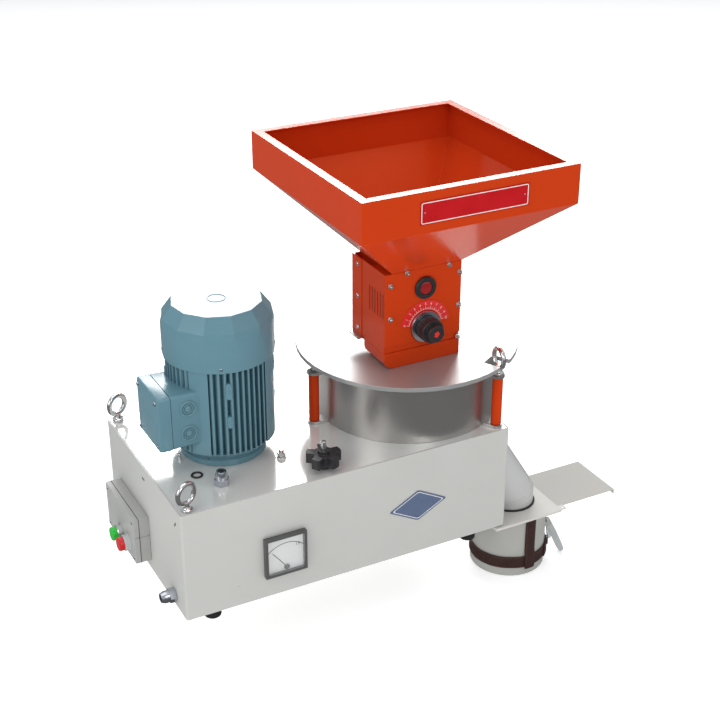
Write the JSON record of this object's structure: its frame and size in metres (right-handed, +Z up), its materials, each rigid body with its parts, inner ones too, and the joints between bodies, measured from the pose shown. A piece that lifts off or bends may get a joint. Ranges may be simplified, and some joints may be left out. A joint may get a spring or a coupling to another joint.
{
  "type": "stone flour mill",
  "caption": "Bench stone flour mill with a vertical flange motor, belt-driven stones under a steel cover, feeder with speed knob, orange hopper and slide-gated flour outlet.",
  "frame": {"origin": "centre of the base underside", "axes": "+X along the front toward the outlet, +Y to the back, +Z up"},
  "size_m": [1.1648, 0.5611, 1.0461],
  "materials": {
    "pale_paint": "satin",
    "brushed_steel": "brushed",
    "chrome_steel": "polished",
    "orange_paint": "gloss",
    "motor_paint": "satin",
    "cast_metal": "cast",
    "zinc_metal": "satin",
    "stone_body": "rough",
    "black_rubber": "matte",
    "black_plastic": "satin",
    "grey_plastic": "satin",
    "green_plastic": "gloss",
    "red_plastic": "gloss",
    "brown_strap": "satin"
  },
  "bodies": {
    "frame": {"base_housing": "pale_paint", "deck_plate": "brushed_steel", "bottom_panel": "pale_paint", "foot_front_left": "black_rubber", "foot_front_right": "black_rubber", "foot_rear_left": "black_rubber", "foot_rear_right": "black_rubber", "deck_eyebolt_front": "chrome_steel", "deck_eyebolt_rear": "chrome_steel", "post_eyebolt": "chrome_steel", "mill_housing": "brushed_steel", "top_cover": "brushed_steel", "clamp_post_left": "orange_paint", "clamp_post_front": "orange_paint", "clamp_post_rear": "orange_paint", "bed_stone": "stone_body", "spindle_bearing": "cast_metal", "drive_belt": "black_rubber", "motor_end_shield": "motor_paint", "motor_frame": "motor_paint", "fan_cowl": "motor_paint", "terminal_box": "motor_paint", "terminal_box_lid": "motor_paint", "feeder_bracket": "orange_paint", "feed_throat": "orange_paint", "feeder_housing": "orange_paint", "feeder_front_cover": "orange_paint", "feeder_gearmotor": "cast_metal", "dial_plate": "red_plastic", "feeder_switch_ring": "black_plastic", "hopper": "orange_paint", "name_plate": "red_plastic", "control_box": "grey_plastic", "deck_gland": "zinc_metal", "end_gland": "zinc_metal", "ammeter_case": "black_plastic", "outlet_duct": "pale_paint", "gate_frame": "pale_paint", "outlet_sleeve": "pale_paint", "sleeve_strap": "brown_strap"},
    "spindle": {"grinding_spindle": "cast_metal", "runner_stone": "stone_body", "mill_pulley": "cast_metal"},
    "rotor": {"motor_shaft": "cast_metal", "motor_pulley": "cast_metal", "cooling_fan": "black_plastic"},
    "drum": {"feed_drum": "zinc_metal"},
    "knob": {"speed_knob": "black_plastic"},
    "lens": {"feeder_switch_lens": "red_plastic"},
    "start": {"start_button": "green_plastic"},
    "stop": {"stop_button": "red_plastic"},
    "needle": {"ammeter_needle": "black_plastic"},
    "star": {"star_knob": "black_plastic", "adjusting_screw": "chrome_steel"},
    "gate": {"slide_gate": "zinc_metal"},
    "shutter": {"shut_off_slide": "zinc_metal"},
    "latch": {"strap_latch": "grey_plastic"}
  },
  "joints": [
    {"name": "spindle_turn", "type": "hinge", "parent": "frame", "child": "spindle", "pos_m": [0.252, 0, 0.2], "axis": [0, 0, 1], "continuous": true},
    {"name": "rotor_turn", "type": "hinge", "parent": "frame", "child": "rotor", "pos_m": [-0.202, 0, 0.2], "axis": [0, 0, 1], "continuous": true},
    {"name": "drum_turn", "type": "hinge", "parent": "frame", "child": "drum", "pos_m": [0.252, 0.0177, 0.5043], "axis": [0, 1, 0], "continuous": true},
    {"name": "knob_turn", "type": "hinge", "parent": "frame", "child": "knob", "pos_m": [0.2259, -0.1253, 0.4999], "axis": [0, 1, 0], "range_deg": [-20, 250]},
    {"name": "lens_press", "type": "slide", "parent": "frame", "child": "lens", "axis": [0, 1, 0], "range_m": [0, 0.002], "stiffness_N_per_m": 400},
    {"name": "start_press", "type": "slide", "parent": "frame", "child": "start", "axis": [1, 0, 0], "range_m": [0, 0.004], "stiffness_N_per_m": 400},
    {"name": "stop_press", "type": "slide", "parent": "frame", "child": "stop", "axis": [1, 0, 0], "range_m": [0, 0.004], "stiffness_N_per_m": 400},
    {"name": "needle_swing", "type": "hinge", "parent": "frame", "child": "needle", "pos_m": [-0.1625, -0.2316, 0.0665], "axis": [0, 1, 0], "range_deg": [-7, 83], "stiffness_Nm_per_rad": 0.002},
    {"name": "star_turn", "type": "hinge", "parent": "frame", "child": "star", "pos_m": [-0.0497, -0.1853, 0.255], "axis": [0, 0, 1], "range_deg": [-360, 360]},
    {"name": "gate_slide", "type": "slide", "parent": "frame", "child": "gate", "axis": [-1, 0, 0], "range_m": [0, 0.13]},
    {"name": "shutter_slide", "type": "slide", "parent": "frame", "child": "shutter", "axis": [1, 0, 0], "range_m": [0, 0.05]},
    {"name": "latch_swing", "type": "hinge", "parent": "frame", "child": "latch", "pos_m": [0.55765, -0.16822, -0.0767], "axis": [0.342, 0.9397, 0], "range_deg": [-60, 10]}
  ],
  "couplings": [
    {"joint": "rotor_turn", "follows": "spindle_turn", "ratio": 2}
  ]
}
